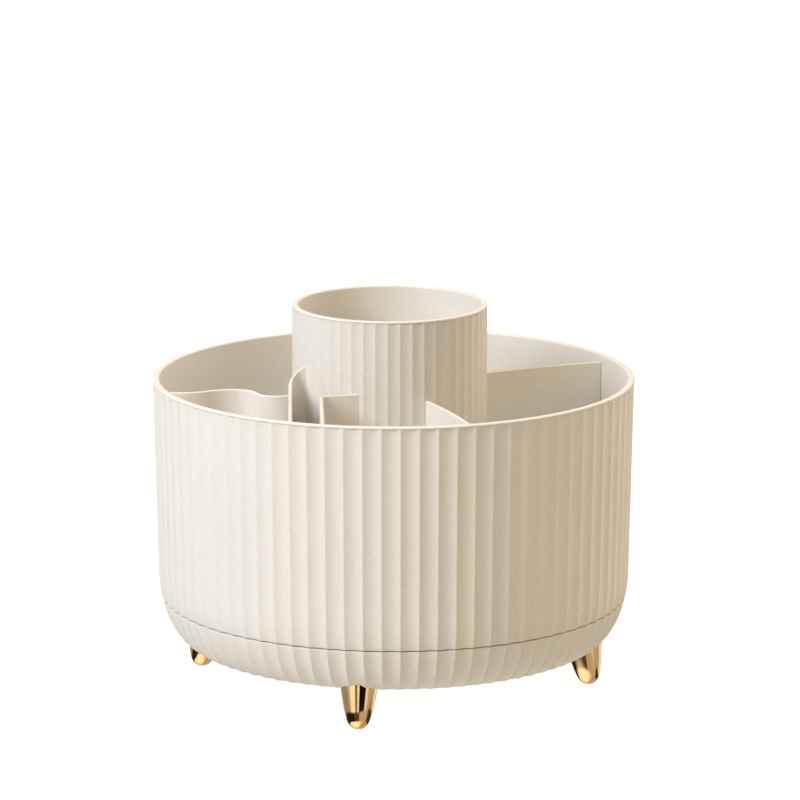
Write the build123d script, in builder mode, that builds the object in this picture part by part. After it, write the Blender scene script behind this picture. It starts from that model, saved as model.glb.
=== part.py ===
from build123d import *
from math import acos, asin, cos, degrees, radians, sin, sqrt, tan
import os

# Rotating organizer: a fluted tub with a centre cup and curved dividers turns on a
# ball track in a shallow fluted dish, which stands on four splayed feet.
# Millimetres, +Z up, origin on the turning axis at the level that the feet stand on.
# The front is -Y. Angles are measured anticlockwise from +X, seen from above.

# Outside form
rim_radius = 100.0        # outside of the tub's lip
rim_height = 128.5
cup_height = 159.0
seam_height = 36.0        # middle of the gap between dish and tub
seam_gap = 0.4
underside_height = 16.4   # flat bottom of the dish
corner_height = 47.8      # where the drafted wall meets the curved corner
corner_inset = 16.5       # how far the corner turns in
wall_draft = 1.13         # degrees
wall = 2.8                # tub and dish, over the ridges
lip_height = 1.0          # plain band above the flutes
lip_bevel = 0.8           # the band leans in by this much

# Flutes
flute_count = 82
flute_depth = 0.75
flute_turn = -88.45       # direction of the first ridge
flute_flats = 3           # the hollow of each flute is this many narrow flats
corner_bands = 3          # straight bands down the curved corner
corner_flute_growth = 0.8  # how much deeper, measured level, the grooves are under the corner
cup_flute_count = 50
cup_flute_depth = 0.45
cup_flute_turn = -91.2

# Cup and dividers
cup_radius = 40.5
cup_wall = 2.6
cup_shift = -1.6          # the cup stands a little left of the turning axis
cup_floor = 2.5
divider_thickness = 1.5
low_divider_drop = 2.9    # the plain curved dividers end lower than the lip, the others level with it
tall_divider_place = 20.5  # where the tall divider leaves the cup, forward of its middle
tall_divider_inset = 0.45  # its outer face stands this far inside the cup's side
swoop_rise = 10.0         # over the lip, where its slope ends inside the cup's wall
swoop_start = 7.5         # before the bend, along the diagonal
swoop_radius = 15.0
swoop_slope = 36.0        # of its climb to the cup
slot_width = 11.4         # between the tall divider and the slot's other wall
slot_corner_gap = 0.4
slot_corner_radius = 4.0
slot_wall_turn = -104.5   # where the slot's wall meets the cup
divider_lean = 1.6        # both run inward by this much at the front
wave_divider_turn = 199.0
wave_divider_place = -38.3
wave_height = 8.0
wave_crest_share = 0.57
wave_outer_shoulder = 3.9  # height of the wave's flanks, this share of its length from the crest
wave_outer_share = 0.22
wave_inner_shoulder = 1.8
wave_inner_share = 0.17
low_divider_turns = (-70.3, 25.0, 105.0)
low_divider_bow = 1.8
insert_clearance = 0.2

# Floors and ribs
base_floor = 2.6
tub_floor = 2.6
floor_bevel = 4.0         # between floor and wall
rib_thickness = 2.0
rib_height = 4.5
tub_rib_depth = 2.0       # under the tub's floor
inner_rib_count = 6
outer_rib_count = 8

# Ball track
track_radius = 62.0
ball_radius = 2.5
ball_count = 12
ball_sides = 8            # the small, hidden and repeated rounds are many-sided
ball_clearance = 0.3
ring_sides = 36           # of the races, the cage and the dish's inside
small_ring_sides = 24     # of the washers, the bush, the hub and the spindle's head
race_inner_radius = 52.0
race_outer_radius = 67.0
race_thickness = 2.5
race_clearance = 0.3      # round the race
race_play = 0.05          # between the balls and each race
race_seat_wall = 2.5
cage_width = 7.6
cage_thickness = 1.8
race_screw_circle = 55.6
race_screw_count = 3
race_screw_radius = 1.25
race_screw_head_radius = 2.4
race_screw_head_height = 1.0
race_screw_length = 4.6
race_screw_turn = 30.0    # between the ribs
race_boss_radius = 3.4

# Spindle
spindle_radius = 3.0
spindle_clearance = 0.05
spindle_head_radius = 5.5
spindle_head_height = 3.0
washer_radius = 8.0
washer_thickness = 1.0
hub_gap = 0.2             # end play of the hub
hub_drop = 6.0            # from the tub's underside down to the bush's flange
hub_rise = 2.0
hub_radius = 9.5
bush_radius = 5.0
bush_flange_radius = 8.0
bush_flange_thickness = 1.2
bush_proud = 0.2
head_room = 1.3
tower_radius = 11.0
nut_width = 10.0          # across flats
nut_height = 4.0
nut_recess = 1.0
nut_clearance = 0.2

# Feet
foot_inset = 18.5         # from the rim in to the centres of the rounded tips
foot_ring_radius = rim_radius - foot_inset
foot_turn = -100.0        # direction of the front foot
foot_splay = 9.0
foot_taper = 9.0          # half angle of the cone
foot_tip_radius = 4.8
foot_flat = 0.3           # taken off the rounded tip
foot_tip_bands = 3        # straight bands round the tip
foot_sides = 20
foot_socket_depth = 5.7
foot_socket_wall = 2.0
foot_socket_roof = 2.5
foot_socket_clearance = 0.1

# Screws of the feet and the insert
screw_sides = 8           # shafts, heads and holes
screw_radius = 1.5
screw_head_radius = 2.8
screw_head_height = 2.2
screw_hole_clearance = 0.2
thread_clearance = 0.05
foot_screw_length = 11.0
insert_screw_length = 8.0
insert_screw_circle = 26.0
insert_screw_count = 3
insert_screw_turn = 30.0  # between the ribs
insert_boss_radius = 4.0
pilot_extra = 1.0         # pilot holes run on past the screw's end

# Heights that follow from these
base_top = seam_height - seam_gap / 2
tub_bottom = seam_height + seam_gap / 2
base_floor_top = underside_height + base_floor
tub_floor_top = tub_bottom + tub_floor
upper_race_bottom = tub_bottom - race_thickness
ball_height = upper_race_bottom - race_play - ball_radius
lower_race_top = ball_height - ball_radius - race_play
lower_race_bottom = lower_race_top - race_thickness
bush_bottom = tub_bottom - hub_drop
tower_top = bush_bottom - hub_gap - washer_thickness
hub_bottom = bush_bottom + bush_flange_thickness
hub_top = tub_floor_top + hub_rise
bush_top = hub_top + bush_proud
spindle_head_bottom = bush_top + hub_gap + washer_thickness
cup_floor_bottom = spindle_head_bottom + spindle_head_height + head_room
nut_bottom = underside_height + nut_recess
foot_tip_height = foot_tip_radius - foot_flat
foot_top = underside_height + foot_socket_depth
foot_screw_top = foot_top + foot_socket_roof

# The corner is a quarter ellipse that starts where the drafted wall ends
corner_top_radius = rim_radius - (rim_height - corner_height) * tan(radians(wall_draft))
corner_centre_radius = corner_top_radius - corner_inset
corner_depth = corner_height - underside_height

os.makedirs("parts", exist_ok=True)


def save(piece, name):
    piece.part.label = name
    export_step(piece.part, f"parts/{name}.step")


def around(radius, angle):
    return Vector(radius, 0, 0).rotate(Axis.Z, angle)


def spaced(radius, count, turn):
    return [around(radius, turn + 360 / count * place) for place in range(count)]


def ring(centre, radius, sides, turn=0.0):
    return [centre + around(radius, turn + 360 / sides * (corner + 0.5)) for corner in range(sides)]


def faceted(rings):
    # closed solid of flat faces through rings of points, one above the other
    faces = [Face(Wire.make_polygon(rings[0])), Face(Wire.make_polygon(rings[-1]))]
    for lower, upper in zip(rings, rings[1:]):
        for corner in range(len(lower)):
            side = [lower[corner - 1], lower[corner], upper[corner], upper[corner - 1]]
            faces.append(Face(Wire.make_polygon(side)))
    return Solid(Shell(faces))


def lip(centre, radius, count, turn):
    # plain band that leans in, with a corner over each ridge
    first = turn + 180 / count
    return faceted([
        ring(centre, radius, count, first),
        ring(centre + Vector(0, 0, lip_height), radius - lip_bevel, count, first),
    ])


def wall_radius(height):
    # outside of the ridges at this height
    if height >= corner_height:
        return rim_radius - (rim_height - height) * tan(radians(wall_draft))
    share = (corner_height - height) / corner_depth
    return corner_centre_radius + corner_inset * sqrt(max(0.0, 1 - share**2))


def groove_depth(height):
    share = max(0.0, corner_height - height) / corner_depth
    return flute_depth * wall_radius(height) / rim_radius * (1 + corner_flute_growth * share**2)


def fluted_face(plane, radius, depth, count, turn):
    # ridges on the circle of this radius, with a hollow made of narrow flats between each pair
    points = []
    for corner in range(count * flute_flats):
        share = (corner % flute_flats) / flute_flats
        hollow = depth * 4 * share * (1 - share)
        points.append(around(radius - hollow, turn + 360 / count * corner / flute_flats))
    with BuildSketch(plane) as outline:
        with BuildLine():
            Polyline(points, close=True)
        make_face()
    return outline.sketch


def wall_face(height):
    level = Plane.XY.offset(height)
    return fluted_face(level, wall_radius(height), groove_depth(height), flute_count, flute_turn)


def corner_angles(low, high, depth):
    # angles of the bands' edges, spread evenly round a quarter ellipse this deep
    first = degrees(asin(min(1.0, (corner_height - low) / depth)))
    last = degrees(asin((corner_height - high) / depth))
    return [first + (last - first) * band / corner_bands for band in range(corner_bands + 1)]


# Inside of the tub: drafted wall, with one flat behind each flute, and a bevelled floor corner.
# The insert fills it, less a clearance.
def tub_cavity(clearance, top):
    lean = tan(radians(wall_draft))
    bevel_top = tub_floor_top + floor_bevel
    bevel_radius = wall_radius(corner_height) - (corner_height - bevel_top) * lean - wall - clearance
    levels = (
        (tub_floor_top, bevel_radius - floor_bevel),
        (bevel_top, bevel_radius),
        (top, bevel_radius + (top - bevel_top) * lean),
    )
    first = flute_turn + 180 / flute_count
    return faceted([ring(Vector(0, 0, height), radius, flute_count, first) for height, radius in levels])


# Feet: level many-sided sections, which step outwards on the way down to a rounded tip
def foot_body(angle, clearance):
    flat = degrees(acos(foot_tip_height / foot_tip_radius))
    rings = []
    for band in range(foot_tip_bands + 1):
        tip_angle = radians(flat + (90 - foot_taper - flat) * band / foot_tip_bands)
        height = foot_tip_height - foot_tip_radius * cos(tip_angle)
        centre = around(foot_ring_radius, angle) + Vector(0, 0, height)
        rings.append(ring(centre, foot_tip_radius * sin(tip_angle) + clearance, foot_sides))
    centre = around(foot_top_place, angle) + Vector(0, 0, foot_top)
    rings.append(ring(centre, foot_top_radius + clearance, foot_sides))
    return faceted(rings)


foot_top_radius = foot_tip_radius + (foot_top - foot_tip_height) * tan(radians(foot_taper))
foot_top_place = foot_ring_radius - (foot_top - foot_tip_height) * tan(radians(foot_splay))
foot_angles = [foot_turn + 90 * quarter for quarter in range(4)]
foot_names = ("foot_front", "foot_right", "foot_back", "foot_left")
foot_screw_places = [around(foot_top_place, angle) for angle in foot_angles]
lower_race_screw_places = spaced(race_screw_circle, race_screw_count, foot_turn + race_screw_turn)
upper_race_screw_places = spaced(race_screw_circle, race_screw_count, race_screw_turn)
insert_screw_places = spaced(insert_screw_circle, insert_screw_count, insert_screw_turn)

for angle, name in zip(foot_angles, foot_names):
    with BuildPart() as foot:
        add(foot_body(angle, 0))
        with BuildSketch(Plane.XY.offset(foot_top)):
            with Locations(around(foot_top_place, angle)):
                RegularPolygon(screw_radius + thread_clearance, screw_sides)
        extrude(amount=foot_socket_roof - foot_screw_length - pilot_extra, mode=Mode.SUBTRACT)
    save(foot, name)


def screws(places, height, radius, length, head_radius, head_height):
    # their heads stand on this height with the shafts below, or hang from it where lengths are negative
    with BuildPart() as row:
        with BuildSketch(Plane.XY.offset(height)):
            with Locations(*places):
                RegularPolygon(head_radius, screw_sides)
        extrude(amount=head_height)
        with BuildSketch(Plane.XY.offset(height)):
            with Locations(*places):
                RegularPolygon(radius, screw_sides)
        extrude(amount=-length)
    return row


foot_screws = screws(
    foot_screw_places,
    foot_screw_top,
    screw_radius,
    foot_screw_length,
    screw_head_radius,
    screw_head_height,
)
save(foot_screws, "foot_screws")

# Dish: the hollow is made first, less the tower, ring seat, ribs and sockets that stand in it
with BuildPart() as base_hollow:
    hollow_depth = corner_height - base_floor_top
    rings = []
    for angle in corner_angles(base_floor_top, base_top, hollow_depth):
        height = corner_height - hollow_depth * sin(radians(angle))
        radius = corner_centre_radius + (corner_inset - wall) * cos(radians(angle))
        rings.append(ring(Vector(0, 0, height), radius, ring_sides))
    add(faceted(rings))
    with BuildSketch(Plane.XY.offset(base_floor_top)):
        RegularPolygon(tower_radius, small_ring_sides)
    extrude(amount=tower_top - base_floor_top, mode=Mode.SUBTRACT)
    with BuildSketch(Plane.XY.offset(base_floor_top)):
        RegularPolygon(race_outer_radius, ring_sides)
        RegularPolygon(race_outer_radius - race_seat_wall, ring_sides, mode=Mode.SUBTRACT)
        RegularPolygon(race_inner_radius + race_seat_wall, ring_sides)
        RegularPolygon(race_inner_radius, ring_sides, mode=Mode.SUBTRACT)
        with Locations(*lower_race_screw_places):
            RegularPolygon(race_boss_radius, screw_sides)
    extrude(amount=lower_race_bottom - base_floor_top, mode=Mode.SUBTRACT)
    inner_rib_length = race_inner_radius + race_seat_wall / 2 - tower_radius / 2
    outer_rib_inside = race_outer_radius - race_seat_wall / 2
    outer_rib_length = wall_radius(base_top) - outer_rib_inside
    with BuildSketch(Plane.XY.offset(base_floor_top)):
        with PolarLocations(tower_radius / 2 + inner_rib_length / 2, inner_rib_count, foot_turn):
            Rectangle(inner_rib_length, rib_thickness)
        first_rib_turn = foot_turn + 180 / outer_rib_count
        with PolarLocations(outer_rib_inside + outer_rib_length / 2, outer_rib_count, first_rib_turn):
            Rectangle(outer_rib_length, rib_thickness)
    extrude(amount=rib_height, mode=Mode.SUBTRACT)
    with BuildSketch(Plane.XY.offset(base_floor_top)):
        with Locations(*foot_screw_places):
            RegularPolygon(foot_top_radius + foot_socket_wall, foot_sides)
    extrude(amount=foot_screw_top - base_floor_top, mode=Mode.SUBTRACT)

with BuildPart() as base_dish:
    angles = corner_angles(underside_height, base_top, corner_depth)
    levels = [corner_height - corner_depth * sin(radians(angle)) for angle in angles]
    loft(sections=[wall_face(level) for level in levels], ruled=True)
    add(base_hollow.part, mode=Mode.SUBTRACT)
    for angle in foot_angles:
        add(foot_body(angle, foot_socket_clearance), mode=Mode.SUBTRACT)
    with BuildSketch(Plane.XY.offset(foot_screw_top)):
        with Locations(*foot_screw_places):
            RegularPolygon(screw_radius + screw_hole_clearance, screw_sides)
    extrude(amount=-foot_socket_roof, mode=Mode.SUBTRACT)
    with BuildSketch(Plane.XY.offset(underside_height)):
        RegularPolygon(spindle_radius + screw_hole_clearance, small_ring_sides)
    extrude(amount=tower_top - underside_height, mode=Mode.SUBTRACT)
    with BuildSketch(Plane.XY.offset(underside_height)):
        RegularPolygon(nut_width / 2 + nut_clearance, 6, major_radius=False)
    extrude(amount=nut_recess + nut_height, mode=Mode.SUBTRACT)
    with BuildSketch(Plane.XY.offset(lower_race_bottom)):
        with Locations(*lower_race_screw_places):
            RegularPolygon(race_screw_radius + thread_clearance, screw_sides)
    extrude(amount=race_thickness - race_screw_length - pilot_extra, mode=Mode.SUBTRACT)
save(base_dish, "base_dish")

# Ball track: two races face each other across the balls, which a cage keeps apart
for name, bottom, face, facing, places in (
    ("lower_race", lower_race_bottom, lower_race_top, 1, lower_race_screw_places),
    ("upper_race", upper_race_bottom, upper_race_bottom, -1, upper_race_screw_places),
):
    with BuildPart() as race:
        with BuildSketch(Plane.XY.offset(bottom)):
            RegularPolygon(race_outer_radius, ring_sides)
            RegularPolygon(race_inner_radius, ring_sides, mode=Mode.SUBTRACT)
            with Locations(*places):
                RegularPolygon(race_screw_radius + screw_hole_clearance, screw_sides, mode=Mode.SUBTRACT)
        extrude(amount=race_thickness)
    save(race, name)
    race_screws = screws(
        places,
        face,
        race_screw_radius,
        facing * race_screw_length,
        race_screw_head_radius,
        facing * race_screw_head_height,
    )
    save(race_screws, f"{name}_screws")

with BuildPart() as ball_cage:
    with BuildSketch(Plane.XY.offset(ball_height)):
        RegularPolygon(track_radius + cage_width / 2, ring_sides)
        RegularPolygon(track_radius - cage_width / 2, ring_sides, mode=Mode.SUBTRACT)
        with PolarLocations(track_radius, ball_count):
            RegularPolygon(ball_radius + ball_clearance, ball_sides, mode=Mode.SUBTRACT)
    extrude(amount=cage_thickness / 2, both=True)
save(ball_cage, "ball_cage")

ball_rings = []
for band in range(0, ball_sides, 2):
    latitude = radians(-90 + 180 / ball_sides * (band + 1))
    centre = Vector(0, 0, ball_height + ball_radius * sin(latitude))
    ball_rings.append(ring(centre, ball_radius * cos(latitude), ball_sides))
ball = faceted(ball_rings)

with BuildPart() as bearing_balls:
    with PolarLocations(track_radius, ball_count):
        add(ball)
save(bearing_balls, "bearing_balls")

# Spindle: a long screw from above holds the tub down on the dish, with a little end play
with BuildPart() as spindle_screw:
    with BuildSketch(Plane.XY.offset(spindle_head_bottom)):
        RegularPolygon(spindle_head_radius, small_ring_sides)
    extrude(amount=spindle_head_height)
    with BuildSketch(Plane.XY.offset(nut_bottom)):
        Circle(spindle_radius)
    extrude(amount=spindle_head_bottom - nut_bottom)
save(spindle_screw, "spindle_screw")

with BuildPart() as spindle_nut:
    with BuildSketch(Plane.XY.offset(nut_bottom)):
        RegularPolygon(nut_width / 2, 6, major_radius=False)
        RegularPolygon(spindle_radius + 2 * thread_clearance, small_ring_sides, mode=Mode.SUBTRACT)
    extrude(amount=nut_height)
save(spindle_nut, "spindle_nut")

for name, bottom in (("thrust_washer", tower_top), ("top_washer", bush_top + hub_gap)):
    with BuildPart() as washer:
        with BuildSketch(Plane.XY.offset(bottom)):
            RegularPolygon(washer_radius, small_ring_sides)
            RegularPolygon(spindle_radius + screw_hole_clearance, small_ring_sides, mode=Mode.SUBTRACT)
        extrude(amount=washer_thickness)
    save(washer, name)

with BuildPart() as hub_bush:
    with BuildSketch(Plane.XY.offset(bush_bottom)):
        RegularPolygon(bush_flange_radius, small_ring_sides)
    extrude(amount=bush_flange_thickness)
    with BuildSketch(Plane.XY.offset(hub_bottom)):
        RegularPolygon(bush_radius, small_ring_sides)
    extrude(amount=bush_top - hub_bottom)
    with Locations((0, 0, bush_top)):
        Hole(radius=spindle_radius + spindle_clearance)
save(hub_bush, "hub_bush")

# Tub
with BuildPart() as tub_shell:
    levels = (tub_bottom, corner_height, rim_height - lip_height)
    loft(sections=[wall_face(level) for level in levels], ruled=True)
    add(lip(Vector(0, 0, rim_height - lip_height), rim_radius, flute_count, flute_turn))
    add(tub_cavity(0, rim_height), mode=Mode.SUBTRACT)
    with BuildSketch(Plane.XY.offset(hub_bottom)):
        RegularPolygon(hub_radius, small_ring_sides)
    extrude(amount=hub_top - hub_bottom)
    with BuildSketch(Plane.XY.offset(tub_bottom)):
        rib_reach = race_inner_radius - race_clearance - hub_radius / 2
        with PolarLocations(hub_radius / 2 + rib_reach / 2, inner_rib_count, 0):
            Rectangle(rib_reach, rib_thickness)
    extrude(amount=-tub_rib_depth)
    with BuildSketch(Plane.XY.offset(hub_bottom)):
        RegularPolygon(bush_radius, small_ring_sides)
    extrude(amount=hub_top - hub_bottom, mode=Mode.SUBTRACT)
    with BuildSketch(Plane.XY.offset(tub_bottom)):
        with Locations(*insert_screw_places):
            RegularPolygon(screw_radius + screw_hole_clearance, screw_sides)
    extrude(amount=tub_floor, mode=Mode.SUBTRACT)
    with BuildSketch(Plane.XY.offset(tub_bottom)):
        with Locations(*upper_race_screw_places):
            RegularPolygon(race_screw_radius + thread_clearance, screw_sides)
    extrude(amount=race_screw_length - race_thickness, mode=Mode.SUBTRACT)
save(tub_shell, "tub_shell")

# Insert: the centre line of each divider runs from inside the cup's wall to past the tub's wall,
# and the tub's hollow, less a clearance, trims the outer end
reach = rim_radius         # how far out the dividers are drawn
peak = rim_height + swoop_rise
divider_top = rim_height
low_divider_top = rim_height - low_divider_drop
cup_floor_top = cup_floor_bottom + cup_floor
cup_bore = cup_radius - cup_wall
tall_start = Vector(cup_shift - sqrt(cup_radius**2 - tall_divider_place**2), -tall_divider_place)
tall_line = cup_shift - cup_radius - divider_thickness / 2 + tall_divider_inset
slot_line = tall_line + divider_thickness + slot_width

with BuildPart() as tall_divider:
    with BuildSketch(Plane.XY.offset(tub_floor_top)):
        with BuildLine():
            stub = Line(tall_start + (cup_wall, 0), tall_start)
            bend = JernArc(stub @ 1, (-1, 0), tall_start.X - tall_line, 90)
            Line(bend @ 1, (tall_line + divider_lean, -reach))
            offset(amount=divider_thickness / 2, side=Side.BOTH)
        make_face()
    extrude(amount=peak - tub_floor_top)
    # seen along the bend's diagonal, its top is level, then curves into an even slope
    with BuildSketch(Plane(bend @ 1, x_dir=(1, 1, 0), z_dir=(1, -1, 0))):
        with BuildLine():
            climb = JernArc((-swoop_start, divider_top), (1, 0), swoop_radius, swoop_slope)
            slope_length = (peak - (climb @ 1).Y) / sin(radians(swoop_slope))
            slope = PolarLine(climb @ 1, slope_length, swoop_slope)
            Polyline(slope @ 1, (-2 * reach, peak), (-2 * reach, divider_top), climb @ 0)
        make_face()
    extrude(amount=2 * reach, both=True, mode=Mode.SUBTRACT)

with BuildPart() as divider_insert:
    with BuildSketch(Plane.XY.offset(tub_floor_top)):
        with BuildLine():
            wave_start = around(reach, wave_divider_turn)
            along = Vector(tall_line, wave_divider_place) - wave_start
            across = along.normalized().rotate(Axis.Z, 90)
            crest = wave_start + along * wave_crest_share + across * wave_height
            before = crest - along * wave_outer_share - across * (wave_height - wave_outer_shoulder)
            after = crest + along * wave_inner_share - across * (wave_height - wave_inner_shoulder)
            rise = TangentArc(crest, before, tangent=-along)
            TangentArc(before, wave_start, tangent=rise % 1)
            fall = TangentArc(crest, after, tangent=along)
            TangentArc(after, wave_start + along, tangent=fall % 1)
            offset(amount=divider_thickness / 2, side=Side.BOTH)
        make_face()
        with BuildLine():
            corner = Vector(slot_line, -cup_radius - slot_corner_gap)
            end = Vector(cup_shift, 0) + around(cup_bore, slot_wall_turn)
            FilletPolyline((slot_line + divider_lean, -reach), corner, end, radius=slot_corner_radius)
            offset(amount=divider_thickness / 2, side=Side.BOTH)
        make_face()
    extrude(amount=divider_top - tub_floor_top)
    for turn in low_divider_turns:
        with BuildSketch(Plane.XY.offset(tub_floor_top)):
            with BuildLine():
                inner_end = around(cup_bore - abs(cup_shift), turn)
                SagittaArc(inner_end, around(reach, turn), low_divider_bow)
                offset(amount=divider_thickness / 2, side=Side.BOTH)
            make_face()
        extrude(amount=low_divider_top - tub_floor_top)
    add(tall_divider.part)
    add(tub_cavity(insert_clearance, peak), mode=Mode.INTERSECT)
    cup_foot = Plane((cup_shift, 0, tub_floor_top))
    add(fluted_face(cup_foot, cup_radius, cup_flute_depth, cup_flute_count, cup_flute_turn))
    extrude(amount=cup_height - lip_height - tub_floor_top)
    add(lip(Vector(cup_shift, 0, cup_height - lip_height), cup_radius, cup_flute_count, cup_flute_turn))
    with BuildSketch(cup_foot.offset(cup_height - tub_floor_top)):
        RegularPolygon(cup_bore, cup_flute_count, rotation=cup_flute_turn)
    extrude(amount=cup_floor_top - cup_height, mode=Mode.SUBTRACT)
    with BuildSketch(Plane.XY.offset(tub_floor_top)):
        with Locations((cup_shift, 0)):
            RegularPolygon(cup_bore, cup_flute_count, rotation=cup_flute_turn)
        with Locations(*insert_screw_places):
            RegularPolygon(insert_boss_radius, screw_sides, mode=Mode.SUBTRACT)
    extrude(amount=cup_floor_bottom - tub_floor_top, mode=Mode.SUBTRACT)
    with BuildSketch(Plane.XY.offset(tub_floor_top)):
        with Locations(*insert_screw_places):
            RegularPolygon(screw_radius + thread_clearance, screw_sides)
    extrude(amount=insert_screw_length - tub_floor + pilot_extra, mode=Mode.SUBTRACT)
save(divider_insert, "divider_insert")

insert_screws = screws(
    insert_screw_places,
    tub_bottom,
    screw_radius,
    -insert_screw_length,
    screw_head_radius,
    -screw_head_height,
)
save(insert_screws, "insert_screws")
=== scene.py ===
import bpy
import bmesh
import math
from mathutils import Matrix, Vector


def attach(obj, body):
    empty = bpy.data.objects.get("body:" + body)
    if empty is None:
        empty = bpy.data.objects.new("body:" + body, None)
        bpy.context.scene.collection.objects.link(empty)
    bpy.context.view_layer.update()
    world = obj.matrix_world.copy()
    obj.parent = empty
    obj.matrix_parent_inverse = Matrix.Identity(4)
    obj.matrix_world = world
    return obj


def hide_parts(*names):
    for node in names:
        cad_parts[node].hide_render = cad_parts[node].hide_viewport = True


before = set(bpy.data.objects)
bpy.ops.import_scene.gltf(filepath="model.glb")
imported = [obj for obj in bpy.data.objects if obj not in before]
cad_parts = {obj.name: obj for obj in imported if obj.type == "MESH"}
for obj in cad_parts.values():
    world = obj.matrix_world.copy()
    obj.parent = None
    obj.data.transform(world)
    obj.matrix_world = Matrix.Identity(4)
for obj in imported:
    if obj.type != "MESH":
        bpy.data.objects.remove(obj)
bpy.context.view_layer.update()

# Lengths are millimetres until a mesh is made, and metres for lamp and camera. The turning
# axis is Z, the floor is at zero and the front is -Y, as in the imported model.
mm = 0.001
scene = bpy.context.scene


# points in millimetres to a linked object
def makeObject(name, points, faces):
    mesh = bpy.data.meshes.new(name)
    mesh.from_pydata([(x * mm, y * mm, z * mm) for x, y, z in points], [], faces)
    work = bmesh.new()
    work.from_mesh(mesh)
    bmesh.ops.recalc_face_normals(work, faces=work.faces)
    work.to_mesh(mesh)
    work.free()
    piece = bpy.data.objects.new(name, mesh)
    scene.collection.objects.link(piece)
    return piece


def turned(name, profile, columns, centre=(0, 0), pitch=None):
    # profile rows are (radius, height, groove), and a profile that starts on the axis also ends on it;
    # columns are (angle, how hollow the groove is there), or a number of plain sides;
    # with a pitch the groove winds round as a thread
    if isinstance(columns, int):
        columns = [(2 * math.pi * side / columns, 0.0) for side in range(columns)]
    points = []
    rows = []
    for radius, height, groove in profile:
        if radius == 0:
            rows.append([len(points)] * len(columns))
            points.append((centre[0], centre[1], height))
            continue
        rows.append(list(range(len(points), len(points) + len(columns))))
        for angle, hollow in columns:
            if pitch:
                hollow = abs(2 * ((height / pitch - angle / (2 * math.pi)) % 1) - 1)
            out = radius - groove * hollow
            points.append((centre[0] + out * math.cos(angle), centre[1] + out * math.sin(angle), height))
    faces = []
    for place in range(len(rows) if profile[0][0] else len(rows) - 1):
        low, high = rows[place], rows[(place + 1) % len(rows)]
        for column in range(len(columns)):
            after = (column + 1) % len(columns)
            corners = [low[column], low[after], high[after], high[column]]
            faces.append(list(dict.fromkeys(corners)))
    return makeObject(name, points, faces)


def plug(radius, low, high, centre, sides=32):
    # upright pin, for bosses and holes
    rows = [(0, low, 0), (radius, low, 0), (radius, high, 0), (0, high, 0)]
    return turned("plug", rows, sides, centre)


def block(name, outline, low, high):
    # upright prism on a plan outline
    count = len(outline)
    points = [(x, y, low) for x, y in outline] + [(x, y, high) for x, y in outline]
    faces = [list(range(count)), list(range(count, 2 * count))]
    faces += [[i, (i + 1) % count, count + (i + 1) % count, count + i] for i in range(count)]
    return makeObject(name, points, faces)


def bar(name, inner, outer, width, angle, low, high):
    # radial rib
    way = Vector((math.cos(angle), math.sin(angle)))
    side = Vector((-way.y, way.x)) * width / 2
    outline = [way * inner - side, way * outer - side, way * outer + side, way * inner + side]
    return block(name, outline, low, high)


def polygon(sides, radius, turn=0.0, centre=(0, 0)):
    return [
        (centre[0] + radius * math.cos(turn + 2 * math.pi * k / sides),
         centre[1] + radius * math.sin(turn + 2 * math.pi * k / sides))
        for k in range(sides)
    ]


def gather(name, pieces):
    # several meshes in one object
    mesh = bpy.data.meshes.new(name)
    work = bmesh.new()
    for piece in pieces:
        work.from_mesh(piece.data)
        bpy.data.objects.remove(piece)
    work.to_mesh(mesh)
    work.free()
    whole = bpy.data.objects.new(name, mesh)
    scene.collection.objects.link(whole)
    return whole


def combine(piece, other, how):
    # boolean of two closed meshes, applied straight away
    step = piece.modifiers.new(how.lower(), "BOOLEAN")
    step.object = other
    step.operation = how
    step.solver = "MANIFOLD"
    graph = bpy.context.evaluated_depsgraph_get()
    mesh = bpy.data.meshes.new_from_object(piece.evaluated_get(graph))
    piece.modifiers.clear()
    piece.data = mesh
    bpy.data.objects.remove(other)


def dress(piece, material, body, nodes, sharp=32):
    piece.data.materials.clear()
    piece.data.materials.append(material)
    piece.data.shade_smooth()
    piece.data.set_sharp_from_angle(angle=math.radians(sharp))
    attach(piece, body)
    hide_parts(*nodes)


# finishes, made of procedural nodes in the object's own coordinates
def startMaterial(name):
    material = bpy.data.materials.new(name)
    material.use_nodes = True
    nodes = material.node_tree.nodes
    links = material.node_tree.links
    shader = nodes["Principled BSDF"]
    place = nodes.new("ShaderNodeTexCoord")
    return material, nodes, links, shader, place.outputs["Object"]


def noise(nodes, links, place, scale, detail=2.0, roughness=0.5):
    grain = nodes.new("ShaderNodeTexNoise")
    grain.inputs["Scale"].default_value = scale
    grain.inputs["Detail"].default_value = detail
    grain.inputs["Roughness"].default_value = roughness
    links.new(place, grain.inputs["Vector"])
    return grain.outputs["Fac"]


def ramp(nodes, links, factor, stops):
    band = nodes.new("ShaderNodeValToRGB")
    band.color_ramp.elements[0].position = stops[0][0]
    band.color_ramp.elements[0].color = (*stops[0][1], 1)
    band.color_ramp.elements[1].position = stops[-1][0]
    band.color_ramp.elements[1].color = (*stops[-1][1], 1)
    for position, colour in stops[1:-1]:
        band.color_ramp.elements.new(position).color = (*colour, 1)
    links.new(factor, band.inputs["Fac"])
    return band.outputs["Color"]


def rescale(nodes, links, value, start, end, low=0.0, high=1.0):
    # the range from start to end becomes the range from low to high
    change = nodes.new("ShaderNodeMapRange")
    change.inputs["From Min"].default_value = start
    change.inputs["From Max"].default_value = end
    change.inputs["To Min"].default_value = low
    change.inputs["To Max"].default_value = high
    links.new(value, change.inputs["Value"])
    return change.outputs["Result"]


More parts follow.
